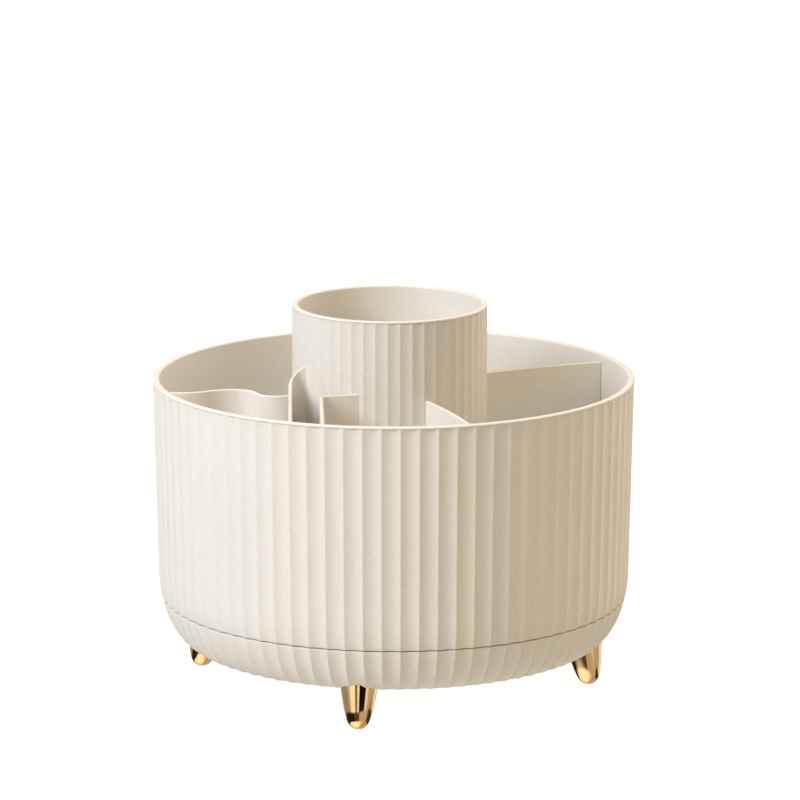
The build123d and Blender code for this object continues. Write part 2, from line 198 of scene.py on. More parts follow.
def blend(nodes, links, first, second, factor=None):
    # two colours mixed by the factor, or multiplied where there is none
    mix = nodes.new("ShaderNodeMix")
    mix.data_type = "RGBA"
    if factor:
        links.new(factor, mix.inputs["Factor"])
    else:
        mix.blend_type = "MULTIPLY"
        mix.inputs["Factor"].default_value = 1.0
    links.new(first, mix.inputs[6])
    links.new(second, mix.inputs[7])
    return mix.outputs[2]


def bumps(nodes, links, shader, height, depth):
    bump = nodes.new("ShaderNodeBump")
    bump.inputs["Strength"].default_value = 1.0
    bump.inputs["Distance"].default_value = depth * mm
    links.new(height, bump.inputs["Height"])
    links.new(bump.outputs["Normal"], shader.inputs["Normal"])


def speckledPlastic(name, look):
    # satin moulding with pale and warm specks under half a millimetre
    material, nodes, links, shader, place = startMaterial(name)
    specks = noise(nodes, links, place, look["speckScale"], 3.0, 0.6)
    clouds = noise(nodes, links, place, look["cloudScale"], 2.0)
    fine = ramp(nodes, links, specks, [
        (0.34, look["warmSpeck"]), (0.48, look["colour"]), (0.58, look["colour"]), (0.70, look["paleSpeck"]),
    ])
    tint = ramp(nodes, links, clouds, [(0.3, look["cloudLow"]), (0.7, look["cloudHigh"])])
    links.new(blend(nodes, links, fine, tint), shader.inputs["Base Color"])
    gloss = rescale(nodes, links, specks, 0.3, 0.7, look["roughLow"], look["roughHigh"])
    links.new(gloss, shader.inputs["Roughness"])
    bumps(nodes, links, shader, noise(nodes, links, place, look["grainScale"], 3.0, 0.65), look["grainDepth"])
    shader.inputs["Subsurface Weight"].default_value = look["glow"]
    shader.inputs["Subsurface Radius"].default_value = (1.0, 0.75, 0.5)
    shader.inputs["Subsurface Scale"].default_value = 1.2 * mm
    shader.inputs["Specular IOR Level"].default_value = look["shine"]
    return material


def turnedMetal(name, look):
    # metal with faint marks of turning round the axis, and smudges in its gloss
    material, nodes, links, shader, place = startMaterial(name)
    stretch = nodes.new("ShaderNodeMapping")
    stretch.inputs["Scale"].default_value = look["markScale"]
    links.new(place, stretch.inputs["Vector"])
    marks = noise(nodes, links, stretch.outputs["Vector"], 1.0, 3.0, 0.6)
    smudges = noise(nodes, links, place, look["smudgeScale"], 3.0)
    tint = ramp(nodes, links, smudges, [(0.3, look["dark"]), (0.7, look["light"])])
    links.new(tint, shader.inputs["Base Color"])
    gloss = rescale(nodes, links, smudges, 0.3, 0.7, look["roughLow"], look["roughHigh"])
    links.new(gloss, shader.inputs["Roughness"])
    bumps(nodes, links, shader, marks, look["markDepth"])
    shader.inputs["Metallic"].default_value = 1.0
    return material


creamLook = {
    "colour": (0.802, 0.778, 0.732),
    "warmSpeck": (0.752, 0.716, 0.650),
    "paleSpeck": (0.880, 0.865, 0.832),
    "cloudLow": (0.985, 0.98, 0.972),
    "cloudHigh": (1.0, 1.0, 1.0),
    "speckScale": 1700.0,
    "cloudScale": 28.0,
    "grainScale": 2600.0,
    "grainDepth": 0.02,
    "roughLow": 0.40,
    "roughHigh": 0.52,
    "glow": 0.06,
    "shine": 0.45,
}
creamPlastic = speckledPlastic("cream plastic", creamLook)
insertPlastic = speckledPlastic("insert plastic", {
    **creamLook,
    "colour": (0.785, 0.762, 0.714),
    "warmSpeck": (0.738, 0.704, 0.642),
    "paleSpeck": (0.870, 0.858, 0.828),
    "roughLow": 0.44,
    "roughHigh": 0.56,
})
nylon = speckledPlastic("white nylon", {
    **creamLook,
    "colour": (0.80, 0.79, 0.75),
    "warmSpeck": (0.77, 0.76, 0.71),
    "paleSpeck": (0.83, 0.82, 0.79),
    "grainDepth": 0.01,
})
goldPlating = turnedMetal("gold plating", {
    "dark": (0.83, 0.55, 0.27),
    "light": (0.88, 0.62, 0.34),
    "markScale": (300.0, 300.0, 2600.0),
    "markDepth": 0.0012,
    "smudgeScale": 160.0,
    "roughLow": 0.04,
    "roughHigh": 0.09,
})
zincCoat = turnedMetal("zinc coat", {
    "dark": (0.60, 0.61, 0.62),
    "light": (0.72, 0.73, 0.74),
    "markScale": (900.0, 900.0, 2400.0),
    "markDepth": 0.004,
    "smudgeScale": 500.0,
    "roughLow": 0.24,
    "roughHigh": 0.38,
})
raceSteel = turnedMetal("race steel", {
    "dark": (0.50, 0.51, 0.52),
    "light": (0.63, 0.64, 0.65),
    "markScale": (240.0, 240.0, 3000.0),
    "markDepth": 0.003,
    "smudgeScale": 220.0,
    "roughLow": 0.20,
    "roughHigh": 0.34,
})
ballSteel = turnedMetal("ball steel", {
    "dark": (0.70, 0.70, 0.72),
    "light": (0.78, 0.78, 0.80),
    "markScale": (500.0, 500.0, 500.0),
    "markDepth": 0.0005,
    "smudgeScale": 400.0,
    "roughLow": 0.05,
    "roughHigh": 0.10,
})
print("finishes made")


# outside form that tub and dish share
form = {
    "rimRadius": 100.0,
    "rimHeight": 128.5,
    "draft": math.radians(1.13),
    "cornerTop": 47.8,
    "cornerInset": 16.5,
    "underside": 16.4,
    "wall": 2.8,
    "flutes": 82,
    "fluteTurn": math.radians(-88.45),
    "fluteDepth": 0.75,
    "fluteGrowth": 0.8,
    "ridgeRound": 0.045,   # share of a flute over which its ridge is rounded
    "tubBottom": 36.2,
    "dishTop": 35.8,
    "tubFloor": 38.8,
    "dishFloor": 19.0,
}
cornerDepth = form["cornerTop"] - form["underside"]
leanIn = (form["rimHeight"] - form["cornerTop"]) * math.tan(form["draft"])
cornerCentre = form["rimRadius"] - leanIn - form["cornerInset"]


def hollowAt(share, rounding):
    # depth across one flute: a shallow arc, with its ridges slightly rounded
    near = min(share, 1 - share)
    if near >= rounding:
        return 4 * near * (1 - near)
    slope = 4 - 8 * rounding
    return 4 * rounding * (1 - rounding) + slope * (near * near - rounding * rounding) / (2 * rounding)


def fluteColumns(count, turn, rounding):
    shares = (0.0, 0.02, 0.045, 0.09, 0.17, 0.28, 0.4, 0.5, 0.6, 0.72, 0.83, 0.91, 0.955, 0.98)
    return [
        (turn + 2 * math.pi * (flute + share) / count, hollowAt(share, rounding))
        for flute in range(count) for share in shares
    ]


def outsideRadius(height):
    if height >= form["cornerTop"]:
        return form["rimRadius"] - (form["rimHeight"] - height) * math.tan(form["draft"])
    share = (form["cornerTop"] - height) / cornerDepth
    return cornerCentre + form["cornerInset"] * math.sqrt(max(0.0, 1 - share * share))


def grooveAt(height):
    # the flutes narrow and deepen down the corner
    share = max(0.0, form["cornerTop"] - height) / cornerDepth
    growth = 1 + form["fluteGrowth"] * share * share
    return form["fluteDepth"] * outsideRadius(height) / form["rimRadius"] * growth


def cavityRadius(height, roundness=6.0):
    # inside of the tub, with a rounded floor corner
    lean = math.tan(form["draft"])
    radius = outsideRadius(form["cornerTop"]) - (form["cornerTop"] - height) * lean - form["wall"]
    up = height - form["tubFloor"]
    if up < roundness:
        radius -= roundness - math.sqrt(max(0.0, roundness ** 2 - (roundness - up) ** 2))
    return radius


def cornerRows(low, high, count):
    # outside rows of the curved corner between two heights, from the top down
    first = math.asin(min(1.0, (form["cornerTop"] - high) / cornerDepth))
    last = math.asin(min(1.0, (form["cornerTop"] - low) / cornerDepth))
    rows = []
    for k in range(count + 1):
        height = form["cornerTop"] - cornerDepth * math.sin(first + (last - first) * k / count)
        rows.append((outsideRadius(height), height, grooveAt(height)))
    return rows


wallColumns = fluteColumns(form["flutes"], form["fluteTurn"], form["ridgeRound"])


tub = {
    "fluteRows": (60.0, 80.0, 100.0, 120.0, 127.2),   # heights at which the flutes are whole
    "fluteEnd": ((127.45, 0.96), (127.62, 0.82), (127.75, 0.55), (127.83, 0.2), (127.88, 0.0)),
    "lipRound": 0.6,
    "insideRows": (110.0, 80.0, 55.0),
    "floorRound": 6.0,
    "hubRadius": 9.5,
    "hubTop": 40.8,
    "hubBottom": 31.4,
    "bore": 5.0,
    "edge": 0.3,
    "ribs": 6,
    "ribWidth": 2.0,
    "ribDepth": 2.0,
    "ribReach": 51.7,
    "holeBottom": 34.0,
    "insertHole": (1.7, 41.0),   # radius and top
    "raceHole": (1.3, 38.3),
}


def seamRows(height, way):
    # rounded edge at the seam between tub and dish; way is 1 for the tub and -1 for the dish
    edge, groove = outsideRadius(height), grooveAt(height)
    return [(edge - 0.45, height, groove), (edge - 0.12, height + 0.08 * way, groove)]


def plainRows(points):
    # rows of a profile where there are no grooves
    return [(radius, height, 0.0) for radius, height in points]


def quarter(steps):
    # cosines and sines over a quarter turn
    return [(math.cos(math.pi / 2 * k / steps), math.sin(math.pi / 2 * k / steps)) for k in range(steps + 1)]


def lipRows(outer, inner, top, rounding):
    # rounded lip, from the outside over the top to the inside
    return plainRows([
        *[(outer - rounding * (1 - across), top - rounding * (1 - up)) for across, up in quarter(6)],
        *[(inner + rounding * (1 - across), top - rounding * (1 - up)) for across, up in quarter(5)[::-1]],
    ])


def tubProfile():
    bottom, floor, rim = form["tubBottom"], form["tubFloor"], form["rimHeight"]
    hub, bore, edge = tub["hubRadius"], tub["bore"], tub["edge"]
    rows = seamRows(bottom, 1) + cornerRows(bottom + 0.3, form["cornerTop"], 10)[::-1]
    rows += [(outsideRadius(height), height, grooveAt(height)) for height in tub["fluteRows"]]
    rows += [(outsideRadius(height), height, form["fluteDepth"] * share) for height, share in tub["fluteEnd"]]
    rows += lipRows(form["rimRadius"], cavityRadius(rim), rim, tub["lipRound"])
    rows += [(cavityRadius(height), height, 0.0) for height in tub["insideRows"]]
    for k in range(9):
        height = floor + tub["floorRound"] * (1 - math.sin(math.pi / 2 * k / 8))
        rows.append((cavityRadius(height), height, 0.0))
    top, under = tub["hubTop"], tub["hubBottom"]
    rows += plainRows([
        (40.0, floor), (hub + 1.0, floor), (hub + edge, floor + edge), (hub, floor + 1.0),
        (hub, top - edge), (hub - edge, top), (bore, top), (bore, under),
        (hub - edge, under), (hub, under + edge), (hub, bottom), (52.0, bottom), (80.0, bottom),
    ])
    return rows


screwSpots = {
    "feet": [(78.71, math.radians(-100 + 90 * k)) for k in range(4)],
    "lowerRace": [(55.6, math.radians(-70 + 120 * k)) for k in range(3)],
    "upperRace": [(55.6, math.radians(30 + 120 * k)) for k in range(3)],
    "insert": [(26.0, math.radians(30 + 120 * k)) for k in range(3)],
}


def spot(place):
    radius, angle = place
    return (radius * math.cos(angle), radius * math.sin(angle))


rootOverlap = 0.6   # ribs and bosses reach this far into their floor
tubPiece = turned("tub", tubProfile(), wallColumns)
for k in range(tub["ribs"]):
    bottom, angle = form["tubBottom"], 2 * math.pi * k / tub["ribs"]
    low, high = bottom - tub["ribDepth"], bottom + rootOverlap
    rib = bar("rib", tub["hubRadius"] - 2, tub["ribReach"], tub["ribWidth"], angle, low, high)
    combine(tubPiece, rib, "UNION")
for spots, hole in (("insert", "insertHole"), ("upperRace", "raceHole")):
    for place in screwSpots[spots]:
        radius, top = tub[hole]
        combine(tubPiece, plug(radius, tub["holeBottom"], top, spot(place)), "DIFFERENCE")
dress(tubPiece, creamPlastic, "tub", ["tub_shell"])
print("tub made", len(tubPiece.data.polygons))


dish = {
    "towerRadius": 11.0,
    "towerTop": 29.0,
    "bore": 3.2,
    "seatTop": 26.1,
    "seatInside": (52.0, 54.5),
    "seatOutside": (64.5, 67.0),
    "edge": 0.2,
    "innerRibs": (6, -100.0, 9.0, 53.2),   # how many, direction of the first, start and end
    "outerRibs": (8, -77.5, 65.8, 85.2),
    "ribWidth": 2.0,
    "ribHeight": 4.5,
    "socketRadius": 9.59,
    "socketTop": 24.6,
    "socketTaper": (2.1, 1.2),   # the boss narrows into the floor, clear of the outside
    "footHole": (1.7, 21.0, 26.0),   # radius, bottom and top
    "nutAcross": 10.4,
    "nutDeep": 21.4,
    "bossRadius": 3.4,
    "raceHole": (1.3, 21.4, 27.0),
}


def dishProfile():
    bottom, floor, top = form["underside"], form["dishFloor"], form["dishTop"]
    tower, towerTop, edge = dish["towerRadius"], dish["towerTop"], dish["edge"]
    under = cornerRows(bottom, top - 0.3, 26)[::-1]
    rows = plainRows([(dish["bore"], bottom), (20.0, bottom), (60.0, bottom), (under[0][0] - 2.5, bottom)])
    rows += under + seamRows(top, -1)[::-1]
    corner = form["cornerTop"]
    fall, inset = corner - floor, form["cornerInset"] - form["wall"]
    start = math.asin((corner - top) / fall)
    for k in range(13):
        angle = start + (math.pi / 2 - start) * k / 12
        rows.append((cornerCentre + inset * math.cos(angle), corner - fall * math.sin(angle), 0.0))
    seat = dish["seatTop"]
    for near, far in (dish["seatOutside"], dish["seatInside"]):
        rows += plainRows([
            (far, floor), (far, seat - edge), (far - edge, seat),
            (near + edge, seat), (near, seat - edge), (near, floor),
        ])
    rows += plainRows([
        (tower + 1.0, floor), (tower + 0.3, floor + 0.3), (tower, floor + 1.0),
        (tower, towerTop - 0.3), (tower - 0.3, towerTop), (dish["bore"], towerTop),
    ])
    return rows


foot = {
    "ringRadius": 82.5,
    "splay": math.radians(9.0),
    "tipRadius": 4.8,
    "flat": 0.28,   # taken off the tip where it stands
    "top": 22.1,
    "pilot": (1.55, 12.5, 24.0),   # radius, bottom and top of its screw hole
    # half width at distances from the tip, along the foot
    "shape": [
        (0.0, 0.0), (0.1, 1.15), (0.4, 2.05), (1.0, 2.95), (2.0, 3.85), (3.2, 4.5),
        (5.0, 5.12), (7.5, 5.78), (10.5, 6.38), (14.0, 7.02), (18.0, 7.7), (24.0, 8.6),
    ],
    "bands": 60,
    "sides": 72,
    "socketGap": 0.1,
}


def smoothLine(stops, at):
    # smooth curve through the stops
    k = max(i for i in range(len(stops) - 1) if stops[i][0] <= at or i == 0)
    x0, y0 = stops[k]
    x1, y1 = stops[k + 1]
    before = stops[k - 1] if k else (x0, y0)
    after = stops[k + 2] if k + 2 < len(stops) else (x1, y1)
    t = (at - x0) / (x1 - x0)
    m0 = (y1 - before[1]) / (x1 - before[0]) * (x1 - x0)
    m1 = (after[1] - y0) / (after[0] - x0) * (x1 - x0)
    return (
        (2 * t ** 3 - 3 * t ** 2 + 1) * y0 + (t ** 3 - 2 * t ** 2 + t) * m0
        + (3 * t ** 2 - 2 * t ** 3) * y1 + (t ** 3 - t ** 2) * m1
    )


def footMesh(name, angle, grow=0.0):
    # turned bullet shape, leaned outwards, then cut level at the floor and in its socket
    length = foot["shape"][-1][0]
    rows = [(0.0, 0.0, 0.0)]
    for k in range(1, foot["bands"] + 1):
        along = length * (k / foot["bands"]) ** 1.8
        rows.append((smoothLine(foot["shape"], along) + grow, along, 0.0))
    rows.append((0.0, length, 0.0))
    piece = turned(name, rows, foot["sides"])
    lift = Matrix.Translation((0, 0, -foot["flat"] * mm))
    lean = Matrix.Rotation(-foot["splay"], 4, "Y")
    reach = foot["ringRadius"] * mm + foot["tipRadius"] * mm * math.sin(foot["splay"])
    out = Matrix.Translation((reach, 0, 0))
    spin = Matrix.Rotation(angle, 4, "Z")
    piece.data.transform(spin @ out @ lift @ lean)
    work = bmesh.new()
    work.from_mesh(piece.data)
    for height, way in ((0.0, -1), (foot["top"] * mm + grow * mm, 1)):
        everything = work.verts[:] + work.edges[:] + work.faces[:]
        cut = bmesh.ops.bisect_plane(
            work, geom=everything, plane_co=(0, 0, height), plane_no=(0, 0, way), clear_outer=True,
        )
        edges = [edge for edge in cut["geom_cut"] if isinstance(edge, bmesh.types.BMEdge)]
        bmesh.ops.holes_fill(work, edges=edges)
    bmesh.ops.recalc_face_normals(work, faces=work.faces)
    work.to_mesh(piece.data)
    work.free()
    return piece


dishPiece = turned("dish", dishProfile(), wallColumns)
floor = form["dishFloor"]
for count, first, start, reach in (dish["innerRibs"], dish["outerRibs"]):
    for k in range(count):
        angle = math.radians(first + 360 / count * k)
        low, high = floor - rootOverlap, floor + dish["ribHeight"]
        combine(dishPiece, bar("rib", start, reach, dish["ribWidth"], angle, low, high), "UNION")
for place in screwSpots["lowerRace"]:
    boss = plug(dish["bossRadius"], floor - rootOverlap, dish["seatTop"], spot(place), 40)
    combine(dishPiece, boss, "UNION")
    combine(dishPiece, plug(*dish["raceHole"], spot(place)), "DIFFERENCE")
for place in screwSpots["feet"]:
    radius, top = dish["socketRadius"], dish["socketTop"]
    narrow, rise = dish["socketTaper"]
    boss = turned("boss", plainRows([
        (0, floor - rootOverlap), (radius - narrow, floor - rootOverlap), (radius, floor + rise),
        (radius, top - 0.5), (radius - 0.5, top), (0, top),
    ]), 72, spot(place))
    combine(dishPiece, boss, "UNION")
    combine(dishPiece, footMesh("socket", place[1], foot["socketGap"]), "DIFFERENCE")
    combine(dishPiece, plug(*dish["footHole"], spot(place)), "DIFFERENCE")
nutShape = polygon(6, dish["nutAcross"] / math.sqrt(3), math.radians(30))
combine(dishPiece, block("pocket", nutShape, form["underside"] - 1, dish["nutDeep"]), "DIFFERENCE")
dress(dishPiece, creamPlastic, "base", ["base_dish"])
print("dish made", len(dishPiece.data.polygons))

for name, place in zip(("foot_front", "foot_right", "foot_back", "foot_left"), screwSpots["feet"]):
    piece = footMesh(name.replace("_", "-") + "-gold", place[1])
    combine(piece, plug(*foot["pilot"], spot(place), 24), "DIFFERENCE")
    dress(piece, goldPlating, "base", [name], 40)
print("feet made")


# cup and dividers, one moulding
insert = {
    "cupRadius": 40.5,
    "cupBore": 37.9,
    "cupShift": -1.6,
    "cupTop": 159.0,
    "cupFloor": 49.0,
    "cupFloorUnder": 46.5,
    "cupFlutes": 50,
    "cupFluteDepth": 0.38,
    "cupFluteTurn": math.radians(-91.2),
    "cupFluteRows": (60.0, 100.0, 140.0, 157.75),   # heights at which its flutes are whole
    "cupFluteEnd": ((157.97, 0.96), (158.13, 0.82), (158.26, 0.55), (158.33, 0.2), (158.38, 0.0)),
    "cupLipRound": 0.6,
    "cupFloorRound": 3.0,
    "cupUnderEdge": 0.4,
    "cupRidgeRound": 0.05,
    "bossRadius": 4.0,
    "bossTop": 47.0,
    "pilot": (1.55, 38.0, 45.2),   # radius, bottom and top of its screw holes
    "thickness": 1.5,
    "edgeRound": 0.45,
    "clearance": 0.2,
    "boreClear": 0.8,
    "top": 128.5,
    "lowTop": 125.6,
    "lowTurns": (-70.3, 25.0, 105.0),
    "lowBow": 1.8,
    "tallLine": -42.4,
    "tallPlace": 20.5,
    "tallRoot": 1.6,   # how far it reaches into the cup's wall
    "lean": 1.6,
    "swoopStart": 7.5,
    "swoopRadius": 15.0,
    "swoopSlope": math.radians(36.0),
    "slotLine": -29.5,
    "slotBack": -40.9,
    "slotRound": 4.0,
    "slotTurn": math.radians(-104.5),
    "waveTurn": math.radians(199.0),
    "wavePlace": -38.3,
    "waveHeight": 8.0,
    "waveCrest": 0.57,
    "waveOuter": (0.22, 3.9),   # share of the length from the crest, and height there
    "waveInner": (0.17, 1.8),
}


def straight(start, end, steps=30):
    return [start.lerp(end, k / steps) for k in range(steps + 1)]


def arcTo(start, heading, end, steps=30):
    # circular arc from start, setting off along heading, to end; returns its points and last heading
    chord = end - start
    turn = math.atan2(heading.x * chord.y - heading.y * chord.x, heading.dot(chord))
    if abs(turn) < 1e-6:
        return straight(start, end, steps), heading
    radius = chord.length / (2 * math.sin(turn))
    centre = start + Vector((-heading.y, heading.x)).normalized() * radius
    points = []
    for k in range(steps + 1):
        spin = Matrix.Rotation(2 * turn * k / steps, 2)
        points.append(centre + spin @ (start - centre))
    return points, Matrix.Rotation(2 * turn, 2) @ heading


def chain(*runs):
    line = [runs[0][0]]
    for run in runs:
        line += run[1:] if (run[0] - line[-1]).length < 1e-6 else run
    return line


def walk(line):
    # distance along a plan line to each of its points
    marks = [0.0]
    for a, b in zip(line, line[1:]):
        marks.append(marks[-1] + (b - a).length)
    return marks


def shifted(line, side):
    # the plan line moved sideways
    out = []
    for k, p in enumerate(line):
        way = (line[min(k + 1, len(line) - 1)] - line[max(k - 1, 0)]).normalized()
        out.append(p + Vector((-way.y, way.x)) * side)
    return out


def pointAt(line, marks, at):
    low, high = 0, len(marks) - 1
    while high - low > 1:
        middle = (low + high) // 2
        if marks[middle] <= at:
            low = middle
        else:
            high = middle
    share = (at - marks[low]) / (marks[high] - marks[low])
    return line[low].lerp(line[high], share)


def reachTo(line, marks, radius):
    # distance along the line at which it meets the tub's wall
    for k in range(len(line) - 1):
        if line[k].length <= radius < line[k + 1].length:
            low, high = marks[k], marks[k + 1]
            for _ in range(24):
                middle = (low + high) / 2
                if pointAt(line, marks, middle).length <= radius:
                    low = middle
                else:
                    high = middle
            return low
    return marks[-1]


def dividerMesh(line, topAt, steps):
    # upright wall with rounded top edges; its far end follows the tub's wall and floor corner
    half, rounding, floor = insert["thickness"] / 2, insert["edgeRound"], form["tubFloor"]
    levels = (0.0, 0.3, 0.9, 1.8, 3.0, 4.5, 6.0, 30.0, 60.0)
    stations = [k / steps for k in range(steps + 1)]
    section = [(-half, level, False) for level in levels]
    for across, up in quarter(5)[::-1]:
        section.append((rounding - half - rounding * up, rounding * (across - 1), True))
    section += [(-side, level, True) for side, level, atTop in section[:8:-1]]
    section += [(half, level, False) for level in levels[::-1]]
    sides = {}
    for side, level, atTop in section:
        moved = shifted(line, side)
        sides[side] = (moved, walk(moved))
    marks = walk(line)
    endTop = topAt(line[-1])
    limit = reachTo(line, marks, cavityRadius(endTop) - insert["clearance"])
    points = []
    for station in stations:
        top = topAt(pointAt(line, marks, limit * station))
        for side, level, atTop in section:
            moved, movedMarks = sides[side]
            endHeight = endTop + level if atTop else floor + level
            reach = reachTo(moved, movedMarks, cavityRadius(max(floor, endHeight)) - insert["clearance"])
            place = pointAt(moved, movedMarks, reach * station)
            points.append((place.x, place.y, top + level if atTop else floor + level))
    wide = len(section)
    faces = []
    for k in range(len(stations) - 1):
        for j in range(wide):
            after = (j + 1) % wide
            faces.append([k * wide + j, k * wide + after, (k + 1) * wide + after, (k + 1) * wide + j])
    for first in (0, (len(stations) - 1) * wide):
        for j in range(wide // 2):
            corners = [first + j, first + j + 1, first + wide - 2 - j, first + wide - 1 - j]
            faces.append(list(dict.fromkeys(corners)))
    return makeObject("divider", points, faces)


def cupProfile():
    radius, bore, groove = insert["cupRadius"], insert["cupBore"], insert["cupFluteDepth"]
    floor, under, edge = insert["cupFloor"], insert["cupFloorUnder"], insert["cupUnderEdge"]
    rounding = insert["cupFloorRound"]
    rows = [(radius, height, groove) for height in (form["tubFloor"], *insert["cupFluteRows"])]
    rows += [(radius, height, groove * share) for height, share in insert["cupFluteEnd"]]
    rows += lipRows(radius, bore, insert["cupTop"], insert["cupLipRound"])
    rows += plainRows([
        (bore, 120.0), (bore, 80.0),
        *[(bore - rounding * (1 - across), floor + rounding * (1 - up)) for across, up in quarter(6)],
        (18.0, floor), (0, floor), (0, under), (18.0, under),
        (bore - edge, under), (bore, under - edge), (bore, form["tubFloor"]),
    ])
    return rows


def tallLine():
    # out of the cup to the left, then round a quarter turn to the front
    reach = math.sqrt(insert["cupRadius"] ** 2 - insert["tallPlace"] ** 2)
    start = Vector((insert["cupShift"] - reach, -insert["tallPlace"]))
    inside = start + Vector((insert["tallRoot"], 0))
    radius = start.x - insert["tallLine"]
    bend = [
        start + Vector((-radius * math.sin(a), -radius + radius * math.cos(a)))
        for a in (math.pi / 2 * k / 24 for k in range(25))
    ]
    down = straight(bend[-1], Vector((insert["tallLine"] + insert["lean"], -form["rimRadius"])), 60)
    return chain(straight(inside, start, 3), bend, down)


def swoopTop(place):
    # level top, which curves up into an even slope along the bend's diagonal
    bendPlace = -insert["tallPlace"] - (tallPlan[3].x - insert["tallLine"])
    along = ((place.x - insert["tallLine"]) + (place.y - bendPlace)) / math.sqrt(2) + insert["swoopStart"]
    radius, slope = insert["swoopRadius"], insert["swoopSlope"]
    if along <= 0:
        return insert["top"]
    if along <= radius * math.sin(slope):
        return insert["top"] + radius - math.sqrt(radius ** 2 - along ** 2)
    climb = radius * (1 - math.cos(slope))
    return insert["top"] + climb + (along - radius * math.sin(slope)) * math.tan(slope)


def wavePlan():
    turn = insert["waveTurn"]
    start = Vector((form["rimRadius"] * math.cos(turn), form["rimRadius"] * math.sin(turn)))
    end = Vector((insert["tallLine"], insert["wavePlace"]))
    along = end - start
    across = Vector((-along.y, along.x)).normalized()
    crest = start + along * insert["waveCrest"] + across * insert["waveHeight"]
    outerShare, outerHeight = insert["waveOuter"]
    innerShare, innerHeight = insert["waveInner"]
    before = start + along * (insert["waveCrest"] - outerShare) + across * outerHeight
    after = start + along * (insert["waveCrest"] + innerShare) + across * innerHeight
    rise, heading = arcTo(crest, -along.normalized(), before, 24)
    outer, _ = arcTo(before, heading, start, 24)
    fall, heading = arcTo(crest, along.normalized(), after, 24)
    inner, _ = arcTo(after, heading, end, 24)
    # from the tall divider outwards
    return chain(inner[::-1], fall[::-1], rise, outer)


def fromCupWall(line):
    # the line from inside the cup's wall outwards, clear of its bore
    cup = Vector((insert["cupShift"], 0))
    return [point for point in line if (point - cup).length > insert["cupBore"] + insert["boreClear"]]


def slotPlan():
    corner = Vector((insert["slotLine"], insert["slotBack"]))
    turn, bore = insert["slotTurn"], insert["cupBore"]
    inner = Vector((insert["cupShift"] + bore * math.cos(turn), bore * math.sin(turn)))
    outer = Vector((insert["slotLine"] + insert["lean"], -form["rimRadius"]))
    a, b = (inner - corner).normalized(), (outer - corner).normalized()
    back = insert["slotRound"] / math.tan(a.angle(b) / 2)
    bend, _ = arcTo(corner + a * back, -a, corner + b * back, 24)
    return fromCupWall(chain(straight(inner, bend[0], 12), bend, straight(bend[-1], outer, 60)))


def lowPlan(degrees):
    turn = math.radians(degrees)
    way = Vector((math.cos(turn), math.sin(turn)))
    start, end = way * (insert["cupBore"] + insert["cupShift"]), way * form["rimRadius"]
    lean = 2 * math.atan2(insert["lowBow"], (end - start).length / 2)
    points, _ = arcTo(start, Matrix.Rotation(lean, 2) @ way, end, 60)
    return fromCupWall(points)


tallPlan = tallLine()
cupColumns = fluteColumns(insert["cupFlutes"], insert["cupFluteTurn"], insert["cupRidgeRound"])
insertPiece = turned("insert", cupProfile(), cupColumns, (insert["cupShift"], 0))
for plan, topAt, steps in (
    (tallPlan, swoopTop, 110),
    (wavePlan(), lambda at: insert["top"], 80),
    (slotPlan(), lambda at: insert["top"], 90),
    *[(lowPlan(turn), lambda at: insert["lowTop"], 60) for turn in insert["lowTurns"]],
):
    combine(insertPiece, dividerMesh(plan, topAt, steps), "UNION")
for place in screwSpots["insert"]:
    boss = plug(insert["bossRadius"], form["tubFloor"], insert["bossTop"], spot(place), 40)
    combine(insertPiece, boss, "UNION")
    combine(insertPiece, plug(*insert["pilot"], spot(place)), "DIFFERENCE")
dress(insertPiece, insertPlastic, "tub", ["divider_insert"])
print("insert made", len(insertPiece.data.polygons))


track = {
    "inner": 52.0,
    "outer": 67.0,
    "thick": 2.5,
    "edge": 0.3,
    "lowerBottom": 26.1,
    "upperBottom": 33.7,
    "ring": 62.0,
    "grooveHalf": 1.3,
    "grooveDepth": 0.2,
    "ballHeight": 31.15,
    "ballRadius": 2.5,
    "balls": 12,
    "cageHalf": 3.8,
    "cageThick": 1.8,
    "cageEdge": 0.25,
    "pocket": (2.8, 28.0, 34.0),   # radius, bottom and top of the cut
    "screwHole": 1.45,
}
ballSpots = [(track["ring"], 2 * math.pi * k / track["balls"]) for k in range(track["balls"])]


def ringRows(inner, outer, low, high, edge):
    # closed section of a flat ring with its four edges broken
    return plainRows([
        (inner, low + edge), (inner + edge, low), (outer - edge, low), (outer, low + edge),
        (outer, high - edge), (outer - edge, high), (inner + edge, high), (inner, high - edge),
    ])


def raceMesh(name, bottom, grooveUp, spots):
    # flat ring with a shallow ball groove, and holes for its screws
    low, high = bottom, bottom + track["thick"]
    rows = ringRows(track["inner"], track["outer"], low, high, track["edge"])
    face, way = (high, -1) if grooveUp else (low, 1)
    groove = []
    for k in range(9):
        share = k / 4 - 1
        depth = track["grooveDepth"] * (1 - share * share)
        groove.append((track["ring"] + track["grooveHalf"] * share, face + way * depth, 0.0))
    rows = rows[:6] + groove[::-1] + rows[6:] if grooveUp else rows[:2] + groove + rows[2:]
    race = turned(name, rows, 192)
    for place in spots:
        combine(race, plug(track["screwHole"], low - 1, high + 1, spot(place)), "DIFFERENCE")
    return race


